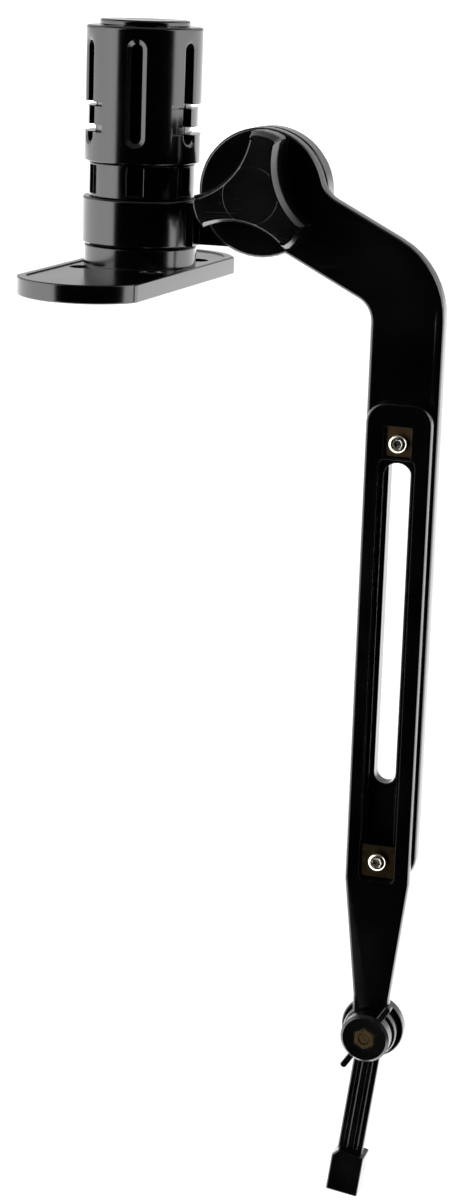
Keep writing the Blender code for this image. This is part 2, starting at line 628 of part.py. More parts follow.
def make_lower_arm():
    arm = slab("lower_arm", lower_arm_outline(), LOWER_ARM_FRONT, LOWER_ARM_BACK, NYLON, bevel=ARM_BEVEL)
    half = CHANNEL_WIDTH / 2
    front = LOWER_ARM_FRONT - MM
    channel_top = FRONT_SLOT_TOP + 1.6 * MM
    channel_low = LOWER_SCREW_Z - CLAMP_PLATE_HEIGHT / 2 - 2 * MM
    channel = slab("front_channel", rounded([
        (LEG_X - half, channel_low, 2.5 * MM), (LEG_X + half, channel_low, 2.5 * MM),
        (LEG_X + half, channel_top, 2.5 * MM), (LEG_X - half, channel_top, 2.5 * MM)]),
        front, CHANNEL_FLOOR, group=tools)
    slot = long_slot("front_slot", LEG_X, LOWER_SCREW_Z - FRONT_SLOT_WIDTH / 2, FRONT_SLOT_TOP,
                     FRONT_SLOT_WIDTH, front, LOWER_ARM_BACK + MM)
    pocket = slab("screw_pocket", rounded([
        (LEG_X - POCKET_HALF, UPPER_SCREW_Z - POCKET_HALF, 0.6 * MM),
        (LEG_X + POCKET_HALF, UPPER_SCREW_Z - POCKET_HALF, 0.6 * MM),
        (LEG_X + POCKET_HALF, UPPER_SCREW_Z + CLAMP_PLATE_HEIGHT / 2, 0.6 * MM),
        (LEG_X - POCKET_HALF, UPPER_SCREW_Z + CLAMP_PLATE_HEIGHT / 2, 0.6 * MM)], 3),
        front, CHANNEL_FLOOR, group=tools)
    return cut(arm, channel, slot, pocket,
               rod("upper_screw_hole", (LEG_X, 0, UPPER_SCREW_Z), CLAMP_SCREW_RADIUS + CLEARANCE,
                   front, LOWER_ARM_BACK + MM, sides=24),
               rod("eye_hole", FOOT_PIVOT, FOOT_BOLT_RADIUS + CLEARANCE, front, LOWER_ARM_BACK + MM, sides=24))


# ---------------------------------------------------------------- clamp screws
def clamp_set(prefix, height, head_back, far_face, plate_front):
    """Screw, clamp plate and nut at one height; the plate straddles the other arm's slot."""
    place = Vector((LEG_X, 0, height))
    head_front = head_back - CLAMP_HEAD_HEIGHT
    edge = 0.5 * MM
    screw = turned(prefix + "_clamp_screw", [
        (0, far_face), (CLAMP_SCREW_RADIUS, far_face), (CLAMP_SCREW_RADIUS, head_back),
        (CLAMP_HEAD_RADIUS, head_back), (CLAMP_HEAD_RADIUS, head_front + edge),
        (CLAMP_HEAD_RADIUS - edge, head_front), (0, head_front)],
        STEEL, centre=place, along="Y", steps=32)
    cut(screw, hexagon(prefix + "_socket", place, 4 * MM, head_front - MM, head_front + 1.7 * MM))
    half = CHANNEL_WIDTH / 2 - CLEARANCE
    plate = box(prefix + "_clamp_plate", (LEG_X - half, plate_front, height - CLAMP_PLATE_HEIGHT / 2),
                (LEG_X + half, plate_front + CLAMP_PLATE_THICKNESS, height + CLAMP_PLATE_HEIGHT / 2),
                DARK_NYLON, parts)
    hole_radius = CLAMP_SCREW_RADIUS + CLEARANCE
    cut(plate, rod(prefix + "_plate_hole", place, hole_radius, plate_front - MM,
                   plate_front + CLAMP_PLATE_THICKNESS + MM, sides=24))
    return screw, plate


def clamp_nut(prefix, height, front, back):
    place = Vector((LEG_X, 0, height))
    nut = hexagon(prefix + "_clamp_nut", place, CLAMP_NUT_FLATS, front, back, "Y", BRASS, parts)
    return cut(nut, rod(prefix + "_nut_bore", place, CLAMP_SCREW_RADIUS + CLEARANCE, front - MM, back + MM,
                        sides=24))


def make_head_washer():
    """Square washer that fills the pocket under the upper screw's head."""
    half = POCKET_HALF - CLEARANCE
    back = CHANNEL_FLOOR - CLEARANCE
    washer = box("upper_head_washer", (LEG_X - half, back - HEAD_WASHER_THICKNESS, UPPER_SCREW_Z - half),
                 (LEG_X + half, back, UPPER_SCREW_Z + CLAMP_PLATE_HEIGHT / 2 - CLEARANCE), BRASS, parts)
    return cut(washer, rod("head_washer_hole", (LEG_X, 0, UPPER_SCREW_Z), CLAMP_SCREW_RADIUS + CLEARANCE,
                           back - HEAD_WASHER_THICKNESS - MM, back + MM, sides=24))


# ---------------------------------------------------------------- knob
def knob_outline():
    """Three flat-ended lobes joined by hollow arcs."""
    corner = math.atan2(KNOB_LOBE / 2, KNOB_REACH)
    tip = Vector((KNOB_REACH, KNOB_LOBE / 2))
    waist = Matrix.Rotation(math.radians(60), 2) @ Vector((KNOB_WAIST, 0))
    # the hollow's centre lies on the line between two lobes
    direction = waist.normalized()
    shift = (tip.length_squared - waist.length_squared) / (2 * (tip.dot(direction) - waist.length))
    centre = direction * shift
    radius = shift - KNOB_WAIST
    begin = math.atan2(tip.y - centre.y, tip.x - centre.x)
    middle = math.radians(60) + math.pi
    sweep = (begin - middle + math.pi) % (2 * math.pi) - math.pi
    outline = []
    for lobe in range(3):
        turn = KNOB_TURN + lobe * math.radians(120)
        spin = Matrix.Rotation(turn, 2)
        low = spin @ Vector((KNOB_REACH - 1.2 * MM, -KNOB_LOBE / 2 + 0.6 * MM))
        outline.append(tuple(low))
        crown = spin @ Vector((KNOB_REACH + 0.6 * MM, 0))
        outline.append(tuple(crown))
        high = spin @ Vector((KNOB_REACH - 1.2 * MM, KNOB_LOBE / 2 - 0.6 * MM))
        outline.append(tuple(high))
        for x, y in arc(centre, radius, middle + sweep * 0.94, middle - sweep * 0.94, 14):
            outline.append(tuple(spin @ Vector((x, y))))
    return [(x + HINGE_X, z + HINGE_HEIGHT) for x, z in outline]


def make_knob():
    knob = slab("pivot_knob", knob_outline(), KNOB_FRONT, KNOB_BACK, NYLON, bevel=KNOB_BEVEL, segments=3)
    bore = rod("knob_bore", HINGE, INSERT_RADIUS + CLEARANCE, KNOB_FRONT + 3.6 * MM, KNOB_BACK + MM)
    return cut(knob, bore)


def make_knob_insert():
    front = KNOB_FRONT + 3.6 * MM + CLEARANCE
    return ring("knob_insert", PIVOT_BOLT_RADIUS + CLEARANCE, INSERT_RADIUS, front, KNOB_BACK - CLEARANCE,
                BRASS, HINGE, "Y")


# ---------------------------------------------------------------- lower bracket
def make_bracket():
    """Eye, fluted stem and foot block, modelled hanging straight below the pivot."""
    half = STEM_WIDTH / 2
    meet = math.asin(half / BRACKET_EYE_RADIUS)
    eye = arc((LEG_X, BRACKET_Z), BRACKET_EYE_RADIUS, -math.pi / 2 + meet, math.pi * 3 / 2 - meet, 32)
    foot_top = BRACKET_Z - BRACKET_LENGTH + FOOT_HEIGHT
    outline = eye + [(LEG_X - half, foot_top - MM), (LEG_X + half, foot_top - MM)]
    bracket = slab("transducer_bracket", outline, BRACKET_FRONT, BRACKET_BACK, NYLON, bevel=0.8 * MM)
    middle = (BRACKET_FRONT + BRACKET_BACK) / 2
    side = FOOT_WIDTH / 2
    foot_low = BRACKET_Z - BRACKET_LENGTH
    foot = slab("foot_block", rounded([
        (LEG_X - side, foot_low, 0), (LEG_X + side, foot_low, 0), (LEG_X + side, foot_top, 0.8 * MM),
        (LEG_X - side + 3 * MM, foot_top + 1.5 * MM, 0.8 * MM), (LEG_X - side, foot_top - 2 * MM, 0.8 * MM)], 3),
        middle - FOOT_DEPTH / 2, middle + FOOT_DEPTH / 2, group=tools, bevel=0.8 * MM)
    join(bracket, foot)
    stem_top = BRACKET_Z - BRACKET_EYE_RADIUS - 2 * MM
    for offset in (-1, 1):
        x = LEG_X + offset * STEM_WIDTH * 0.2
        for name, front, back in (("front", BRACKET_FRONT - MM, BRACKET_FRONT + 0.9 * MM),
                                  ("back", BRACKET_BACK - 0.9 * MM, BRACKET_BACK + MM)):
            cut(bracket, box(f"flute_{name}_{offset}", (x - 0.9 * MM, front, foot_top + 2.4 * MM),
                             (x + 0.9 * MM, back, stem_top)))
    return cut(bracket, rod("bracket_hole", FOOT_PIVOT, FOOT_BOLT_RADIUS + CLEARANCE,
                            BRACKET_FRONT - MM, BRACKET_BACK + MM, sides=24))


def make_foot_bolt():
    head_front = BRACKET_BACK + CLEARANCE
    head_back = head_front + 3.2 * MM
    end = WING_FRONT + 0.6 * MM
    return turned("foot_bolt", [(0, head_back), (4.4 * MM, head_back), (5 * MM, head_back - 0.6 * MM),
                                (5 * MM, head_front), (FOOT_BOLT_RADIUS, head_front),
                                (FOOT_BOLT_RADIUS, end), (0, end)],
                  STEEL, centre=FOOT_PIVOT, along="Y", steps=32)


def make_wing_knob():
    """Round hub with two thin wings, and a hexagon pocket for its nut."""
    edge = 1.2 * MM
    knob = turned("wing_knob", [(0, WING_BACK), (WING_HUB_RADIUS - 0.5 * MM, WING_BACK),
                                (WING_HUB_RADIUS, WING_BACK - 0.5 * MM), (WING_HUB_RADIUS, WING_FRONT + edge),
                                (WING_HUB_RADIUS - edge, WING_FRONT), (0, WING_FRONT)],
                  NYLON, centre=FOOT_PIVOT, along="Y", steps=40)
    half = WING_SPAN / 2
    thin = WING_THICKNESS / 2
    turn = Matrix.Rotation(WING_TURN, 2)
    corners = [turn @ Vector(p) for p in ((-half, -thin), (half, -thin), (half, thin), (-half, thin))]
    wings = slab("wings", rounded([(LEG_X + p.x, BRACKET_Z + p.y, 1.2 * MM) for p in corners], 3),
                 WING_FRONT + 1.6 * MM, WING_BACK - 0.4 * MM, group=tools, bevel=0.5 * MM)
    join(knob, wings)
    nut_back = WING_FRONT + WING_NUT + CLEARANCE
    return cut(knob, hexagon("wing_pocket", FOOT_PIVOT, WING_NUT_FLATS + 2 * CLEARANCE, WING_FRONT - MM, nut_back),
               rod("wing_hole", FOOT_PIVOT, FOOT_BOLT_RADIUS + CLEARANCE, WING_FRONT, WING_BACK + MM, sides=24))


def make_wing_nut():
    nut = hexagon("wing_nut", FOOT_PIVOT, WING_NUT_FLATS, WING_FRONT + 0.2 * MM, WING_FRONT + WING_NUT,
                  "Y", BRASS, parts)
    return cut(nut, rod("wing_nut_bore", FOOT_PIVOT, FOOT_BOLT_RADIUS + CLEARANCE, WING_FRONT - MM,
                        WING_BACK, sides=24))


# ---------------------------------------------------------------- assembly
base = body("base", (0, 0, 0), [make_base_plate(), make_post_core(), make_post_sleeve(),
                                make_post_cap()] + make_post_fastening())
base.rotation_euler.z = BASE_TURN

collar = body("collar", (0, 0, 0), [make_collar(), make_collar_bush(), make_pivot_bolt()])

nut_front = REAR_CHANNEL_FLOOR + CLEARANCE
nut_back = nut_front + CLAMP_NUT_HEIGHT
lower_screw, lower_plate = clamp_set("lower", LOWER_SCREW_Z,
                                     CHANNEL_FLOOR - 2 * CLEARANCE - CLAMP_PLATE_THICKNESS,
                                     nut_back + CLEARANCE, CHANNEL_FLOOR - CLEARANCE - CLAMP_PLATE_THICKNESS)
lower_nut = clamp_nut("lower", LOWER_SCREW_Z, nut_front, nut_back)
friction = ring("friction_washer", PIVOT_BOLT_RADIUS + CLEARANCE, FRICTION_WASHER_RADIUS,
                ARM_BACK + CLEARANCE, -CLEARANCE, RUBBER, HINGE, "Y")
upper = body("upper_arm_body", HINGE, [make_upper_arm(), friction, lower_screw, lower_plate, lower_nut], collar)

knob_washer = ring("knob_washer", PIVOT_BOLT_RADIUS + CLEARANCE, 11 * MM, KNOB_WASHER_BACK - KNOB_WASHER,
                   KNOB_WASHER_BACK, STEEL, HINGE, "Y")
body("knob_body", HINGE, [make_knob(), make_knob_insert(), knob_washer], collar)

plate_front = REAR_CHANNEL_FLOOR + CLEARANCE
nut_front = plate_front + CLAMP_PLATE_THICKNESS + CLEARANCE
nut_back = nut_front + CLAMP_NUT_HEIGHT
upper_screw, upper_plate = clamp_set("upper", UPPER_SCREW_Z,
                                     CHANNEL_FLOOR - 2 * CLEARANCE - HEAD_WASHER_THICKNESS,
                                     nut_back + CLEARANCE, plate_front)
upper_nut = clamp_nut("upper", UPPER_SCREW_Z, nut_front, nut_back)
foot_washer = ring("foot_washer", FOOT_BOLT_RADIUS + CLEARANCE, 6 * MM, WING_BACK + CLEARANCE,
                   WING_BACK + CLEARANCE + KNOB_WASHER, STEEL, FOOT_PIVOT, "Y")
lower = body("lower_arm_body", (LEG_X, 0, UPPER_SCREW_Z),
             [make_lower_arm(), upper_screw, make_head_washer(), upper_plate, upper_nut, foot_washer], upper)

bracket = body("bracket_body", FOOT_PIVOT, [make_bracket(), make_foot_bolt()], lower)
bracket.rotation_euler.y = BRACKET_TILT
body("wing_body", FOOT_PIVOT, [make_wing_knob(), make_wing_nut()], lower)
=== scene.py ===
import json
import math

import bmesh
import bpy
from mathutils import Matrix, Vector


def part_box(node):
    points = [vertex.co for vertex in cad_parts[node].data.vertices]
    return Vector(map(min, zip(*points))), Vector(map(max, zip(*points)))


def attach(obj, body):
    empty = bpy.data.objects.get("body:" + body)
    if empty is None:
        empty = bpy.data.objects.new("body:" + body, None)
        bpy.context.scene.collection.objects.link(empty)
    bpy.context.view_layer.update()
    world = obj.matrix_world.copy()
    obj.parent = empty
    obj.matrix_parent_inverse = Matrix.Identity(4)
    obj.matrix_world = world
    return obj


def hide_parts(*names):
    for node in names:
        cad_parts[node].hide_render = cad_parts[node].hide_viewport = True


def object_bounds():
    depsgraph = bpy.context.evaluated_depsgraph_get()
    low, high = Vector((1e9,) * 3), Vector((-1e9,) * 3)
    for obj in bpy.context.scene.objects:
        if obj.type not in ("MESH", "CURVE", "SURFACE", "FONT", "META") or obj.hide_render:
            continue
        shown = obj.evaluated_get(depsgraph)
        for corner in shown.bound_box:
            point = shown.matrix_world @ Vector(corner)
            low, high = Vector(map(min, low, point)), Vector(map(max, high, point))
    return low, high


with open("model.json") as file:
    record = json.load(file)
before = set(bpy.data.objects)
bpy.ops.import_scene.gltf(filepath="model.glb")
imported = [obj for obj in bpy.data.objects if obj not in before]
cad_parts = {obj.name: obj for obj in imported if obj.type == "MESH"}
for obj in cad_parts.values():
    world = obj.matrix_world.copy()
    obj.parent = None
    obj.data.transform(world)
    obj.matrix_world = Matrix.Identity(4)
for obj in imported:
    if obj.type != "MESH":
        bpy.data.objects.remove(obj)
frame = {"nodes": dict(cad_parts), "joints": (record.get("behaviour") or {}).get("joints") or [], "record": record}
cadLow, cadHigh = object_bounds()
nodes = frame["nodes"]
print("frame loaded:", len(nodes), "nodes")

mm = 0.001


# camera first: the arm is seen a little from its right and from above the post's top
cameraSetup = {
    "azimuth": 16.8,  # degrees from the front towards +X
    "pitch": 14.4,  # degrees down
    "roll": 1.9,
    "distance": 1.182,
    "target": (0.0466, 0.0002, -0.1424),
    "lens": 78.0,
    "sensor": 36.0,
}


def makeCamera(setup):
    azimuth = math.radians(setup["azimuth"])
    pitch = math.radians(setup["pitch"])
    roll = math.radians(setup["roll"])
    level = math.cos(pitch)
    back = Vector((math.sin(azimuth) * level, -math.cos(azimuth) * level, math.sin(pitch)))
    side = Vector((math.cos(azimuth), math.sin(azimuth), 0))
    up = back.cross(side)
    right = math.cos(roll) * side + math.sin(roll) * up
    top = back.cross(right)
    data = bpy.data.cameras.new("studioCamera")
    data.lens = setup["lens"]
    data.sensor_width = setup["sensor"]
    data.clip_start = 0.05
    data.clip_end = 60
    camera = bpy.data.objects.new("studioCamera", data)
    bpy.context.scene.collection.objects.link(camera)
    turn = Matrix((right, top, back)).transposed().to_4x4()
    camera.matrix_world = Matrix.Translation(Vector(setup["target"]) + back * setup["distance"]) @ turn
    bpy.context.scene.camera = camera
    return camera


makeCamera(cameraSetup)
print("camera placed")


# shader groups that the materials share
def newGroup(name, inputs, outputs):
    group = bpy.data.node_groups.new(name, "ShaderNodeTree")
    for label, kind, value in inputs:
        socket = group.interface.new_socket(label, in_out="INPUT", socket_type=kind)
        if value is not None:
            socket.default_value = value
    for label, kind in outputs:
        group.interface.new_socket(label, in_out="OUTPUT", socket_type=kind)
    start = group.nodes.new("NodeGroupInput")
    end = group.nodes.new("NodeGroupOutput")
    return group, start, end


def addNode(tree, kind, values=None, **settings):
    node = tree.nodes.new(kind)
    for key, value in settings.items():
        setattr(node, key, value)
    for label, value in (values or {}).items():
        node.inputs[label].default_value = value
    return node


def noiseAt(tree, vector, scale, detail=2.0, roughness=0.5):
    noise = addNode(tree, "ShaderNodeTexNoise", {"Detail": detail, "Roughness": roughness})
    tree.links.new(vector, noise.inputs["Vector"])
    if isinstance(scale, (int, float)):
        noise.inputs["Scale"].default_value = scale
    else:
        tree.links.new(scale, noise.inputs["Scale"])
    return noise


def remap(tree, value, low, high, outLow=0.0, outHigh=1.0):
    node = addNode(tree, "ShaderNodeMapRange", {"From Min": low, "From Max": high,
                                                "To Min": outLow, "To Max": outHigh})
    tree.links.new(value, node.inputs["Value"])
    return node.outputs["Result"]


def maths(tree, operation, first, second):
    node = addNode(tree, "ShaderNodeMath", operation=operation)
    for socket, value in zip(node.inputs, (first, second)):
        if isinstance(value, (int, float)):
            socket.default_value = value
        else:
            tree.links.new(value, socket)
    return node.outputs["Value"]


def makeMouldedGrain():
    group, start, end = newGroup(
        "mouldedGrain",
        [("Vector", "NodeSocketVector", None), ("Grain Scale", "NodeSocketFloat", 2600.0),
         ("Flow Scale", "NodeSocketFloat", 28.0)],
        [("Height", "NodeSocketFloat"), ("Mottle", "NodeSocketFloat")])
    fine = noiseAt(group, start.outputs["Vector"], start.outputs["Grain Scale"], 3.0, 0.6)
    broad = noiseAt(group, start.outputs["Vector"], start.outputs["Flow Scale"], 4.0, 0.55)
    ripple = noiseAt(group, start.outputs["Vector"], 260.0, 2.0, 0.5)
    height = maths(group, "ADD", maths(group, "MULTIPLY", fine.outputs["Fac"], 0.55),
                   maths(group, "MULTIPLY", ripple.outputs["Fac"], 0.45))
    group.links.new(height, end.inputs["Height"])
    group.links.new(remap(group, broad.outputs["Fac"], 0.3, 0.7), end.inputs["Mottle"])
    return group


# mask of the rounded edges, broken up by noise: the lighter rims it gives are partly rubbed wear, partly a painted
# highlight
def makeEdgeWearAndHighlight():
    group, start, end = newGroup(
        "edgeWearAndHighlight",
        [("Vector", "NodeSocketVector", None), ("Radius", "NodeSocketFloat", 0.0009),
         ("Breakup", "NodeSocketFloat", 420.0)],
        [("Mask", "NodeSocketFloat")])
    rounded = addNode(group, "ShaderNodeBevel", samples=4)
    group.links.new(start.outputs["Radius"], rounded.inputs["Radius"])
    geometry = addNode(group, "ShaderNodeNewGeometry")
    dot = addNode(group, "ShaderNodeVectorMath", operation="DOT_PRODUCT")
    group.links.new(rounded.outputs["Normal"], dot.inputs[0])
    group.links.new(geometry.outputs["Normal"], dot.inputs[1])
    edge = remap(group, dot.outputs["Value"], 0.995, 0.88)
    speckle = noiseAt(group, start.outputs["Vector"], start.outputs["Breakup"], 4.0, 0.65)
    broken = remap(group, speckle.outputs["Fac"], 0.38, 0.62)
    group.links.new(maths(group, "MULTIPLY", edge, broken), end.inputs["Mask"])
    return group


def makeScuffs():
    group, start, end = newGroup(
        "handlingScuffs",
        [("Vector", "NodeSocketVector", None), ("Amount", "NodeSocketFloat", 0.5)],
        [("Mask", "NodeSocketFloat")])
    total = None
    for angle, stretch in ((0.5, 26.0), (-0.9, 34.0)):
        turn = addNode(group, "ShaderNodeMapping")
        turn.inputs["Rotation"].default_value = (0.3, angle, angle * 0.6)
        turn.inputs["Scale"].default_value = (70.0, 70.0, 70.0 * stretch)
        group.links.new(start.outputs["Vector"], turn.inputs["Vector"])
        streak = noiseAt(group, turn.outputs["Vector"], 1.0, 2.0, 0.5)
        line = remap(group, streak.outputs["Fac"], 0.63, 0.72)
        total = line if total is None else maths(group, "MAXIMUM", total, line)
    patch = noiseAt(group, start.outputs["Vector"], 19.0, 2.0, 0.5)
    zone = remap(group, patch.outputs["Fac"], 0.5, 0.62)
    masked = maths(group, "MULTIPLY", total, zone)
    group.links.new(maths(group, "MULTIPLY", masked, start.outputs["Amount"]), end.inputs["Mask"])
    return group


def makeMetalGrain():
    group, start, end = newGroup(
        "metalGrain",
        [("Vector", "NodeSocketVector", None), ("Scale", "NodeSocketFloat", 2400.0)],
        [("Height", "NodeSocketFloat"), ("Tone", "NodeSocketFloat")])
    fine = noiseAt(group, start.outputs["Vector"], start.outputs["Scale"], 2.0, 0.5)
    cloud = noiseAt(group, start.outputs["Vector"], 320.0, 4.0, 0.6)
    group.links.new(fine.outputs["Fac"], end.inputs["Height"])
    group.links.new(remap(group, cloud.outputs["Fac"], 0.3, 0.7), end.inputs["Tone"])
    return group


mouldedGrain = makeMouldedGrain()
edgeWearAndHighlight = makeEdgeWearAndHighlight()
handlingScuffs = makeScuffs()
metalGrain = makeMetalGrain()


# moulded plastic, metal and soft finishes
def newMaterial(name):
    mat = bpy.data.materials.new(name)
    mat.use_nodes = True
    tree = mat.node_tree
    shader = tree.nodes["Principled BSDF"]
    place = addNode(tree, "ShaderNodeTexCoord").outputs["Object"]
    return mat, tree, shader, place


def useGroup(tree, group, place, **values):
    node = addNode(tree, "ShaderNodeGroup", node_tree=group)
    tree.links.new(place, node.inputs["Vector"])
    for label, value in values.items():
        node.inputs[label.replace("_", " ")].default_value = value
    return node


def mixColours(tree, mask, first, second):
    node = addNode(tree, "ShaderNodeMix", data_type="RGBA")
    colours = [socket for socket in node.inputs if socket.type == "RGBA"]
    for socket, colour in zip(colours, (first, second)):
        if isinstance(colour, tuple):
            socket.default_value = (*colour, 1)
        else:
            tree.links.new(colour, socket)
    tree.links.new(mask, node.inputs[0])
    return [socket for socket in node.outputs if socket.type == "RGBA"][0]


def bumpFrom(tree, height, strength, distance):
    node = addNode(tree, "ShaderNodeBump", {"Strength": strength, "Distance": distance})
    tree.links.new(height, node.inputs["Height"])
    return node.outputs["Normal"]


# the lightest colour of each finish goes on scuffs and on edges; on the edges it is partly wear, partly painted
# highlight
nylonLook = {
    "satinNylon": {"dark": (0.0004, 0.0004, 0.00045), "light": (0.0011, 0.0011, 0.0012),
                   "wornAndHighlight": (0.010, 0.010, 0.0105),
                   "smooth": 0.12, "rough": 0.19, "grain": 0.05, "scuff": 0.35},
    "armNylon": {"dark": (0.0003, 0.0003, 0.00035), "light": (0.0009, 0.0009, 0.001),
                 "wornAndHighlight": (0.009, 0.009, 0.0095),
                 "smooth": 0.16, "rough": 0.24, "grain": 0.08, "scuff": 0.4},
    "knobNylon": {"dark": (0.0005, 0.0005, 0.00055), "light": (0.0013, 0.0013, 0.0014),
                  "wornAndHighlight": (0.012, 0.012, 0.0125),
                  "smooth": 0.18, "rough": 0.27, "grain": 0.12, "scuff": 0.4},
}


def makeNylon(name, look):
    mat, tree, shader, place = newMaterial(name)
    grain = useGroup(tree, mouldedGrain, place)
    wearAndHighlight = useGroup(tree, edgeWearAndHighlight, place)
    scuff = useGroup(tree, handlingScuffs, place, Amount=look["scuff"])
    base = mixColours(tree, grain.outputs["Mottle"], look["dark"], look["light"])
    # lighter rims along the edges, partly wear and partly painted highlight, joined with the real scuffs
    wornAndHighlight = maths(tree, "MULTIPLY", wearAndHighlight.outputs["Mask"], 0.5)
    marksAndHighlight = maths(tree, "MAXIMUM", wornAndHighlight, scuff.outputs["Mask"])
    tree.links.new(mixColours(tree, marksAndHighlight, base, look["wornAndHighlight"]), shader.inputs["Base Color"])
    rough = remap(tree, grain.outputs["Mottle"], 0.0, 1.0, look["smooth"], look["rough"])
    roughened = maths(tree, "MULTIPLY", marksAndHighlight, 0.16)
    tree.links.new(maths(tree, "ADD", rough, roughened), shader.inputs["Roughness"])
    tree.links.new(bumpFrom(tree, grain.outputs["Height"], look["grain"], 0.00006), shader.inputs["Normal"])
    shader.inputs["IOR"].default_value = 1.53
    return mat


def makeMetal(name, bright, dull, smooth, rough):
    mat, tree, shader, place = newMaterial(name)
    grain = useGroup(tree, metalGrain, place)
    wearAndHighlight = useGroup(tree, edgeWearAndHighlight, place, Radius=0.0004)
    base = mixColours(tree, grain.outputs["Tone"], dull, bright)
    # edges brighten towards the bright colour: partly wear, partly painted highlight
    tree.links.new(mixColours(tree, wearAndHighlight.outputs["Mask"], base, bright), shader.inputs["Base Color"])
    tree.links.new(remap(tree, grain.outputs["Tone"], 0.0, 1.0, rough, smooth), shader.inputs["Roughness"])
    tree.links.new(bumpFrom(tree, grain.outputs["Height"], 0.12, 0.00003), shader.inputs["Normal"])
    shader.inputs["Metallic"].default_value = 1.0
    return mat


def makeSoft(name, dark, light, rough, strength):
    mat, tree, shader, place = newMaterial(name)
    grain = useGroup(tree, mouldedGrain, place, Grain_Scale=1800.0)
    tree.links.new(mixColours(tree, grain.outputs["Mottle"], dark, light), shader.inputs["Base Color"])
    gloss = remap(tree, grain.outputs["Mottle"], 0.0, 1.0, rough, rough - 0.1)
    tree.links.new(gloss, shader.inputs["Roughness"])
    tree.links.new(bumpFrom(tree, grain.outputs["Height"], strength, 0.0001), shader.inputs["Normal"])
    return mat


finishes = {name: makeNylon(name, look) for name, look in nylonLook.items()}
finishes["screwSteel"] = makeMetal("screwSteel", (0.86, 0.82, 0.72), (0.62, 0.58, 0.48), 0.18, 0.34)
finishes["darkBronze"] = makeMetal("darkBronze", (0.11, 0.075, 0.035), (0.045, 0.03, 0.015), 0.35, 0.55)
finishes["blackBronze"] = makeMetal("blackBronze", (0.032, 0.022, 0.011), (0.012, 0.008, 0.004), 0.4, 0.6)
finishes["machinedBrass"] = makeMetal("machinedBrass", (0.78, 0.58, 0.28), (0.5, 0.36, 0.16), 0.2, 0.4)
finishes["frictionRubber"] = makeSoft("frictionRubber", (0.012, 0.012, 0.012), (0.03, 0.03, 0.03),
                                      0.85, 0.5)
finishes["whiteAcetal"] = makeSoft("whiteAcetal", (0.62, 0.61, 0.57), (0.78, 0.77, 0.72), 0.45, 0.2)
print("materials:", ", ".join(finishes))

# every piece of the frame: its finish, and how far its edges are rounded, in millimetres
pieceLook = {
    "base_plate": {"finish": "satinNylon", "edge": 0.7},
    "post_core": {"finish": "satinNylon", "edge": 0.35},
    "post_sleeve": {"finish": "satinNylon", "edge": 0.55},
    "post_cap": {"finish": "satinNylon", "edge": 0.3},
    "arm_collar": {"finish": "satinNylon", "edge": 0.4},
    "upper_arm": {"finish": "armNylon", "edge": 0.4},
    "lower_arm": {"finish": "armNylon", "edge": 0.4},
    "pivot_knob": {"finish": "knobNylon", "edge": 0.3},
    "wing_knob": {"finish": "knobNylon", "edge": 0.35},
    "transducer_bracket": {"finish": "armNylon", "edge": 0.3},
    "lower_clamp_plate": {"finish": "blackBronze", "edge": 0.2},
    "upper_clamp_plate": {"finish": "armNylon", "edge": 0.2},
    "upper_head_washer": {"finish": "darkBronze", "edge": 0.15},
    "friction_washer": {"finish": "frictionRubber", "edge": 0.1},
    "collar_bush": {"finish": "whiteAcetal", "edge": 0.15},
    "post_bolt": {"finish": "screwSteel", "edge": 0.3},
    "post_washer": {"finish": "screwSteel", "edge": 0.1},
    "pivot_bolt": {"finish": "screwSteel", "edge": 0.3},
    "knob_washer": {"finish": "screwSteel", "edge": 0.1},
    "foot_washer": {"finish": "screwSteel", "edge": 0.1},
    "foot_bolt": {"finish": "darkBronze", "edge": 0.25},
    "upper_clamp_screw": {"finish": "screwSteel", "edge": 0.3},
    "lower_clamp_screw": {"finish": "screwSteel", "edge": 0.3},
    "post_insert": {"finish": "machinedBrass", "edge": 0.2},
    "knob_insert": {"finish": "machinedBrass", "edge": 0.2},
    "upper_clamp_nut": {"finish": "machinedBrass", "edge": 0.25},
    "lower_clamp_nut": {"finish": "machinedBrass", "edge": 0.25},
    "wing_nut": {"finish": "darkBronze", "edge": 0.25},
}
bodies = frame["record"]["behaviour"]["bodies"]
bodyOf = {node: body for body, members in bodies.items() for node in members}


def dressNodes():
    for name, obj in nodes.items():
        obj.data.materials.clear()
        obj.data.materials.append(finishes[pieceLook[name]["finish"]])


def softenEdges(obj, width, segments=3, angle=32):
    edge = obj.modifiers.new("softEdges", "BEVEL")
    edge.width = width
    edge.segments = segments
    edge.limit_method = "ANGLE"
    edge.angle_limit = math.radians(angle)
    edge.miter_outer = "MITER_ARC"
    obj.data.shade_smooth()
    flat = obj.modifiers.new("flatFaces", "WEIGHTED_NORMAL")
    flat.mode = "FACE_AREA"
    flat.weight = 90
    flat.keep_sharp = True


def settle(obj, name):
    obj.data.materials.clear()
    obj.data.materials.append(finishes[pieceLook[name]["finish"]])
    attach(obj, bodyOf[name])
    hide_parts(name)


weldDistance = 0.002 * mm
flatAngle = math.radians(0.8)  # facets nearer than this to one plane are joined


# a finer piece grown from the frame's own solid, so that it fills the same space
def refinePiece(name, look):
    bm = bmesh.new()
    bm.from_mesh(nodes[name].data)
    bmesh.ops.remove_doubles(bm, verts=bm.verts, dist=weldDistance)
    bmesh.ops.dissolve_limit(bm, angle_limit=flatAngle, verts=bm.verts, edges=bm.edges)
    mesh = bpy.data.meshes.new(name + "_shell")
    bm.to_mesh(mesh)
    bm.free()
    obj = bpy.data.objects.new(name + "_shell", mesh)
    bpy.context.scene.collection.objects.link(obj)
    if name in rimLook:
        sinkField(obj, name, rimLook[name])
    softenEdges(obj, look["edge"] * mm)
    settle(obj, name)
    return obj


def addMesh(name, bm):
    bmesh.ops.recalc_face_normals(bm, faces=bm.faces)
    mesh = bpy.data.meshes.new(name)
    bm.to_mesh(mesh)
    bm.free()
    obj = bpy.data.objects.new(name, mesh)
    bpy.context.scene.collection.objects.link(obj)
    return obj


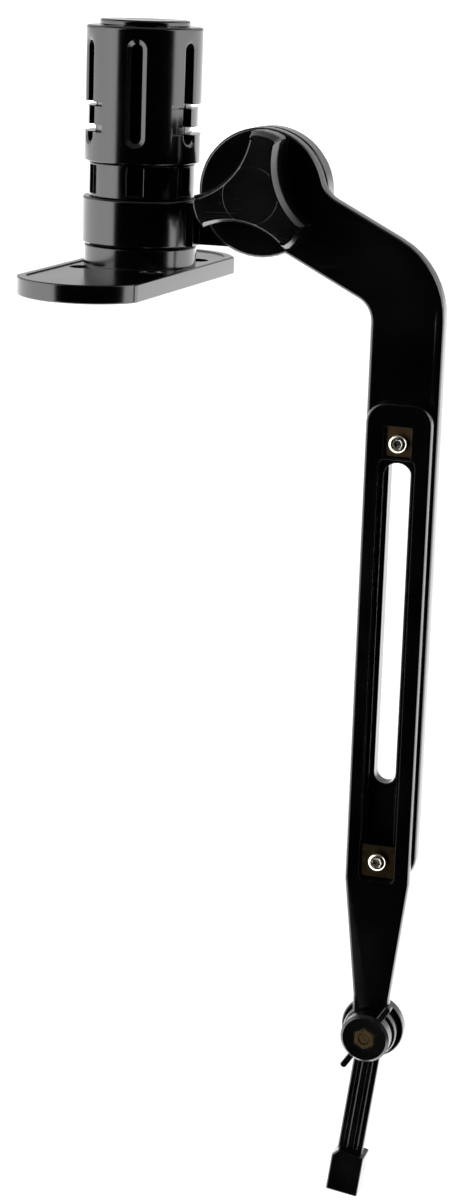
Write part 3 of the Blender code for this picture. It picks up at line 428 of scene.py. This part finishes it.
# a turned solid about Y through centre; points are (radius, depth), and depth grows towards the back
def lathe(name, points, centre, steps=96):
    bm = bmesh.new()
    rows = []
    for radius, depth in points:
        if radius == 0:
            rows.append([bm.verts.new((centre.x, depth, centre.z))] * steps)
            continue
        rows.append([bm.verts.new((centre.x + radius * math.cos(2 * math.pi * i / steps), depth,
                                   centre.z + radius * math.sin(2 * math.pi * i / steps)))
                     for i in range(steps)])
    for one, two in zip(rows, rows[1:]):
        for i in range(steps):
            ring = [one[i - 1], one[i], two[i], two[i - 1]]
            bm.faces.new(list(dict.fromkeys(ring)))
    bmesh.ops.remove_doubles(bm, verts=bm.verts, dist=0.0000005)
    return addMesh(name, bm)


# a solid of one outline in XZ, from front to back along Y
def prism(name, outline, front, back):
    bm = bmesh.new()
    face = bm.faces.new([bm.verts.new((x, front, z)) for x, z in outline])
    sweep = bmesh.ops.extrude_face_region(bm, geom=[face])
    moved = [item for item in sweep["geom"] if isinstance(item, bmesh.types.BMVert)]
    bmesh.ops.translate(bm, verts=moved, vec=(0, back - front, 0))
    return addMesh(name, bm)


def ringOfPoints(centre, radius, count):
    return [(centre.x + radius * math.cos(2 * math.pi * i / count),
             centre.z + radius * math.sin(2 * math.pi * i / count)) for i in range(count)]


def carve(obj, cutter):
    change = obj.modifiers.new(cutter.name, "BOOLEAN")
    change.operation = "DIFFERENCE"
    change.solver = "EXACT"
    change.object = cutter
    bpy.context.view_layer.update()
    mesh = bpy.data.meshes.new_from_object(obj.evaluated_get(bpy.context.evaluated_depsgraph_get()))
    obj.modifiers.clear()
    obj.data = mesh
    bpy.data.objects.remove(cutter, do_unlink=True)


def middleOf(name):
    low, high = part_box(name)
    return (Vector(low) + Vector(high)) / 2


# slotted sleeve of the post
sleeveLook = {
    "outer": 25.6 * mm,
    "bore": 18.5 * mm,
    "topRound": 1.3 * mm,
    "lowChamfer": 0.4 * mm,
    "steps": 192,  # sides of the turned surface
    "slots": 6,
    "slotWidth": 5.0 * mm,
    "slotFloor": 20.6 * mm,  # distance of a slot's floor from the axis
    "slotHalfHeight": 3.8 * mm,  # the slot ends' own radius in the frame
    "slotPhase": 14.9,  # first slot, degrees from the front towards the arm, before the base's turn
    "topMargin": 5.6 * mm,
    "lowMargin": 7.6 * mm,
    "frontLip": (1.9 * mm, 1.5 * mm),  # width and depth of the chamfer on the front and back slots
    "sideLip": (1.3 * mm, 0.7 * mm),
    "sideWidth": 6.0 * mm,
    "baseTurn": -3.6,
    "notchReach": 54.0,  # degrees either way from a side
    "notchFloor": 21.0 * mm,
    "land": 24.3 * mm,
    "notchSteps": (12.6 * mm, 15.8 * mm, 23.7 * mm, 25.7 * mm),  # heights over the sleeve's lower end
}


def stadium(halfWidth, low, high, steps=12):
    arcUp = [(halfWidth * math.cos(math.pi * i / steps), high + halfWidth * math.sin(math.pi * i / steps))
             for i in range(steps + 1)]
    return arcUp + [(-x, low + high - z) for x, z in arcUp]


def loftRows(name, rows):
    bm = bmesh.new()
    loops = [[bm.verts.new(point) for point in row] for row in rows]
    for one, two in zip(loops, loops[1:]):
        for i in range(len(one)):
            bm.faces.new((one[i - 1], one[i], two[i], two[i - 1]))
    bm.faces.new(loops[0])
    bm.faces.new(loops[-1])
    return addMesh(name, bm)


# sweep a closed section of (radius, height) points round Z, all the way or part of it
def loftRing(name, section, start, end, steps):
    rows = []
    whole = abs(end - start - 2 * math.pi) < 0.001
    for i in range(steps if whole else steps + 1):
        turn = start + (end - start) * i / steps
        rows.append([(r * math.cos(turn), r * math.sin(turn), z) for r, z in section])
    bm = bmesh.new()
    loops = [[bm.verts.new(point) for point in row] for row in rows]
    pairs = list(zip(loops, loops[1:])) + ([(loops[-1], loops[0])] if whole else [])
    for one, two in pairs:
        for i in range(len(section)):
            bm.faces.new((one[i - 1], one[i], two[i], two[i - 1]))
    if not whole:
        bm.faces.new(loops[0])
        bm.faces.new(loops[-1])
    return addMesh(name, bm)


def slotTool(outer, floor, turn, width, lip, low, high):
    spread, depth = lip
    levels = [(None, 0.0), (depth, 0.0), (0.0, spread), (-0.8 * mm, spread * 1.5)]
    rows = []
    for sunk, wider in levels:
        row = []
        for x, z in stadium(width / 2 + wider, low, high):
            skin = math.sqrt(outer ** 2 - x * x)
            row.append((x, -floor if sunk is None else sunk - skin, z))
        rows.append(row)
    tool = loftRows("slotTool", rows)
    tool.data.transform(Matrix.Rotation(turn, 4, "Z"))
    return tool


def makeSleeve(look):
    low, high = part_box("post_sleeve")
    bottom, top = low[2], high[2]
    chamfer = look["topRound"]
    edge = look["lowChamfer"]
    section = [(look["bore"], bottom), (look["outer"] - edge, bottom), (look["outer"], bottom + edge),
               (look["outer"], top - chamfer)]
    section += [(look["outer"] - chamfer * (1 - math.cos(math.radians(a))),
                 top - chamfer * (1 - math.sin(math.radians(a)))) for a in (22, 45, 68, 90)]
    section += [(look["bore"], top)]
    sleeve = loftRing("post_sleeve_shell", section, 0.0, 2 * math.pi, look["steps"])
    start = math.radians(look["slotPhase"] + look["baseTurn"])
    half = look["slotHalfHeight"]
    for i in range(look["slots"]):
        front = i % 3 == 0
        carve(sleeve, slotTool(look["outer"], look["slotFloor"], start + 2 * math.pi * i / look["slots"],
                               look["slotWidth"] if front else look["sideWidth"],
                               look["frontLip"] if front else look["sideLip"],
                               bottom + look["lowMargin"] + half, top - look["topMargin"] - half))
    one, two, three, four = (bottom + step for step in look["notchSteps"])
    outside = look["outer"] + mm
    floor = look["notchFloor"]
    section = [(outside, one), (floor, one), (floor, two), (look["land"], two), (look["land"], three),
               (floor, three), (floor, four), (outside, four)]
    reach = math.radians(look["notchReach"])
    for middle in (start, start + math.pi):
        carve(sleeve, loftRing("notchTool", section, middle - reach, middle + reach, 64))
    softenEdges(sleeve, 0.3 * mm, 2, 38)
    settle(sleeve, "post_sleeve")


# button-head screw with a hexagon socket
screwHead = {
    "radius": 4.2 * mm,
    "height": 2.5 * mm,
    "round": 1.5 * mm,  # how far the head's edge is rounded over
    "shank": 2.5 * mm,
    "tip": 0.4 * mm,  # chamfer at the shank's end
    "socket": 4.4 * mm,  # across the corners
    "socketDepth": 1.7 * mm,
    "lead": 0.25 * mm,  # chamfer into the socket
}


def makeScrew(name, look):
    low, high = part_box(name)
    centre = middleOf(name)
    front, back = low[1], high[1]
    shank, tip = look["shank"], look["tip"]
    points = [(0, front)]
    sweep = 8
    for i in range(sweep + 1):
        turn = math.pi / 2 * i / sweep
        points.append((look["radius"] - look["round"] * (1 - math.sin(turn)),
                       front + look["round"] * (1 - math.cos(turn))))
    points += [(look["radius"], front + look["height"]), (shank, front + look["height"]),
               (shank, back - tip), (shank - tip, back), (0, back)]
    screw = lathe(name + "_shell", points, centre)
    socket = prism("socketTool", ringOfPoints(centre, look["socket"] / 2, 6), front - mm,
                   front + look["socketDepth"])
    carve(screw, socket)
    softenEdges(screw, look["lead"], 2, 40)
    settle(screw, name)


# outline in X and Z moved inwards by distance, whichever way round it runs
def moveInwards(outline, distance):
    area = sum(x0 * z1 - x1 * z0 for (x0, z0), (x1, z1) in zip(outline, outline[1:] + outline[:1]))
    side = 1 if area > 0 else -1
    moved = []
    for i, here in enumerate(outline):
        here = Vector(here)
        before = (here - Vector(outline[i - 1])).normalized()
        after = (Vector(outline[(i + 1) % len(outline)]) - here).normalized()
        normals = [Vector((-edge.y, edge.x)) * side for edge in (before, after)]
        middle = (normals[0] + normals[1]).normalized()
        moved.append(tuple(here + middle * distance / max(0.35, middle.dot(normals[0]))))
    return moved


frontDepth = 0.05 * mm  # faces this near the foremost point count as the front


# outer boundary of a node's flat front face, as ordered (x, z) points
def frontRim(name):
    bm = bmesh.new()
    bm.from_mesh(nodes[name].data)
    bmesh.ops.remove_doubles(bm, verts=bm.verts, dist=weldDistance)
    nearest = min(vert.co.y for vert in bm.verts)
    flat = {face for face in bm.faces
            if face.normal.y < -0.99 and face.calc_center_median().y < nearest + frontDepth}
    links = {}
    for edge in bm.edges:
        if sum(face in flat for face in edge.link_faces) == 1:
            one, two = edge.verts
            links.setdefault(one, []).append(two)
            links.setdefault(two, []).append(one)
    loops = []
    left = set(links)
    while left:
        here = min(left, key=lambda vert: (vert.co.x, vert.co.z))
        loop = []
        while here in left:
            loop.append((here.co.x, here.co.z))
            left.discard(here)
            here = next((vert for vert in links[here] if vert in left), here)
        loops.append(loop)
    bm.free()
    return max(loops, key=lambda loop: max(z for x, z in loop) - min(z for x, z in loop))


# sunk field inside a raised rim on the front of the upper arm
rimLook = {
    "upper_arm": {"rim": 2.0 * mm, "sink": 0.35 * mm, "slope": 0.75 * mm},
}


def sinkField(obj, name, look):
    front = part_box(name)[0][1]
    rim = frontRim(name)
    rows = []
    for inwards, depth in ((look["rim"] + look["slope"], look["sink"]), (look["rim"], 0.0),
                           (look["rim"] - look["slope"], -look["sink"])):
        rows.append([(x, front + depth, z) for x, z in moveInwards(rim, inwards)])
    carve(obj, loftRows("fieldTool", rows))


knobLook = {
    "reach": 27.2 * mm,  # flat end of a lobe from the hinge
    "lobe": 14.4 * mm,
    "waist": 13.0 * mm,
    "turn": 79.0,
    "slopeWidth": 1.7 * mm,
    "slopeDepth": 5.0 * mm,
    "hubRadius": 12.3 * mm,
    "hubGroove": (0.6 * mm, 0.12 * mm),
    "bore": 7.3 * mm,
    "boreStart": 3.6 * mm,
}


def knobOutline(look, centre):
    tip = Vector((look["reach"], look["lobe"] / 2))
    sixty = math.radians(60)
    direction = Vector((math.cos(sixty), math.sin(sixty)))
    waist = look["waist"]
    shift = (tip.length_squared - waist ** 2) / (2 * (tip.dot(direction) - waist))
    middle = direction * shift
    radius = shift - waist
    begin = math.atan2(tip.y - middle.y, tip.x - middle.x)
    back = sixty + math.pi
    sweep = (begin - back + math.pi) % (2 * math.pi) - math.pi
    points = []
    for lobe in range(3):
        spin = Matrix.Rotation(math.radians(look["turn"] + 120 * lobe), 2)
        reach, half = look["reach"], look["lobe"] / 2
        shape = [(reach - 1.3 * mm, -half + 0.7 * mm), (reach - 0.5 * mm, -half + 1.4 * mm),
                 (reach + 0.3 * mm, -half / 3), (reach + 0.3 * mm, half / 3),
                 (reach - 0.5 * mm, half - 1.4 * mm), (reach - 1.3 * mm, half - 0.7 * mm)]
        for i in range(25):
            turn = back + sweep * (0.94 - 1.88 * i / 24)
            shape.append((middle.x + radius * math.cos(turn), middle.y + radius * math.sin(turn)))
        points += [tuple(spin @ Vector(point) + Vector((centre.x, centre.z))) for point in shape]
    return points


def makeKnob(look):
    low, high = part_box("pivot_knob")
    front, back = low[1], high[1]
    centre = Vector((hinge.x, 0, hinge.z))
    outline = knobOutline(look, centre)
    slope = look["slopeDepth"]
    rows = [(look["slopeWidth"] + 0.7 * mm, front), (look["slopeWidth"], front + 0.25 * mm),
            (0.45 * mm, front + slope - 0.5 * mm), (0.0, front + slope + 0.5 * mm),
            (0.0, back - 0.6 * mm), (0.6 * mm, back)]
    knob = loftRows("pivot_knob_shell", [[(x, depth, z) for x, z in moveInwards(outline, inwards)]
                                         for inwards, depth in rows])
    width, depth = look["hubGroove"]
    radius = look["hubRadius"]
    inner = radius - width / 2
    outer = radius + width / 2
    groove = lathe("hubTool", [(inner, front - mm), (outer, front - mm), (outer, front),
                               (radius, front + depth), (inner, front), (inner, front - mm)], centre)
    carve(knob, groove)
    start = front + look["boreStart"]
    bore = [(0, start), (look["bore"], start), (look["bore"], back + mm), (0, back + mm)]
    carve(knob, lathe("boreTool", bore, centre))
    softenEdges(knob, 0.25 * mm, 2, 40)
    settle(knob, "pivot_knob")


jointAt = {joint["name"]: joint for joint in frame["joints"]}
hinge = Vector(jointAt["arm_fold"]["pos_m"])

dressNodes()
makeKnob(knobLook)
for screwName in ("upper_clamp_screw", "lower_clamp_screw"):
    makeScrew(screwName, screwHead)
makeSleeve(sleeveLook)
builtByHand = {"upper_clamp_screw", "lower_clamp_screw", "post_sleeve", "pivot_knob"}
for name, look in pieceLook.items():
    if name not in builtByHand:
        refinePiece(name, look)
print("pieces refined:", len(pieceLook))


# plain studio: light all round, except from the side where the camera stands
studioLook = {
    "floorDrop": 0.03,
    "floorSize": 12.0,
    "darkCentre": (0.371, -0.929, 0.0),  # middle of the unlit side
    "darkEdge": 0.575,
    "lightEdge": 0.515,
    "darkLevel": 0.001,
    "sideLevel": 4.5,  # brightness to the left and right
    "backLevel": 2.4,
    "wallLevel": 0.75,  # brightness of the far wall above the floor
    "ceilingLevel": 0.25,
    "behind": (0.3, -0.75),  # how far round the side light fades into the far wall
    "wallFoot": (-0.1, 0.08),
    "ceilingEdge": (0.45, 0.75),
    "floorGlow": 0.42,
}


def makeWorld(look):
    world = bpy.data.worlds.new("lightTent")
    bpy.context.scene.world = world
    world.use_nodes = True
    tree = world.node_tree
    back = tree.nodes["Background"]
    direction = addNode(tree, "ShaderNodeTexCoord").outputs["Generated"]
    dot = addNode(tree, "ShaderNodeVectorMath", operation="DOT_PRODUCT")
    dot.inputs[1].default_value = look["darkCentre"]
    tree.links.new(direction, dot.inputs[0])
    facing = dot.outputs["Value"]
    parts = addNode(tree, "ShaderNodeSeparateXYZ")
    tree.links.new(direction, parts.inputs["Vector"])
    height = parts.outputs["Z"]
    behind = remap(tree, facing, *look["behind"])
    farWall = remap(tree, height, *look["wallFoot"], look["backLevel"], look["wallLevel"])
    drop = maths(tree, "MULTIPLY", behind, maths(tree, "SUBTRACT", look["sideLevel"], farWall))
    around = maths(tree, "SUBTRACT", look["sideLevel"], drop)
    upward = remap(tree, height, *look["ceilingEdge"])
    fall = maths(tree, "MULTIPLY", upward, maths(tree, "SUBTRACT", around, look["ceilingLevel"]))
    lit = maths(tree, "SUBTRACT", around, fall)
    lift = remap(tree, facing, look["darkEdge"], look["lightEdge"])
    level = maths(tree, "MAXIMUM", maths(tree, "MULTIPLY", lit, lift), look["darkLevel"])
    seen = addNode(tree, "ShaderNodeLightPath").outputs["Is Camera Ray"]
    strength = maths(tree, "MAXIMUM", level, seen)
    back.inputs["Color"].default_value = (1, 1, 1, 1)
    tree.links.new(strength, back.inputs["Strength"])


def makeFloor(look):
    half = look["floorSize"] / 2
    height = cadLow.z - look["floorDrop"]
    mesh = bpy.data.meshes.new("studioFloor")
    bm = bmesh.new()
    bmesh.ops.create_grid(bm, x_segments=1, y_segments=1, size=half,
                          matrix=Matrix.Translation((0, 0, height)))
    bm.to_mesh(mesh)
    bm.free()
    floor = bpy.data.objects.new("studioFloor", mesh)
    bpy.context.scene.collection.objects.link(floor)
    mat = bpy.data.materials.new("paleFloor")
    mat.use_nodes = True
    shader = mat.node_tree.nodes["Principled BSDF"]
    shader.inputs["Base Color"].default_value = (0.92, 0.92, 0.92, 1)
    shader.inputs["Roughness"].default_value = 0.9
    shader.inputs["Specular IOR Level"].default_value = 0.0
    shader.inputs["Emission Color"].default_value = (1, 1, 1, 1)
    shader.inputs["Emission Strength"].default_value = look["floorGlow"]
    mesh.materials.append(mat)
    floor.visible_glossy = False


makeWorld(studioLook)
makeFloor(studioLook)
bpy.context.scene.view_settings.view_transform = "Standard"
print("studio built")
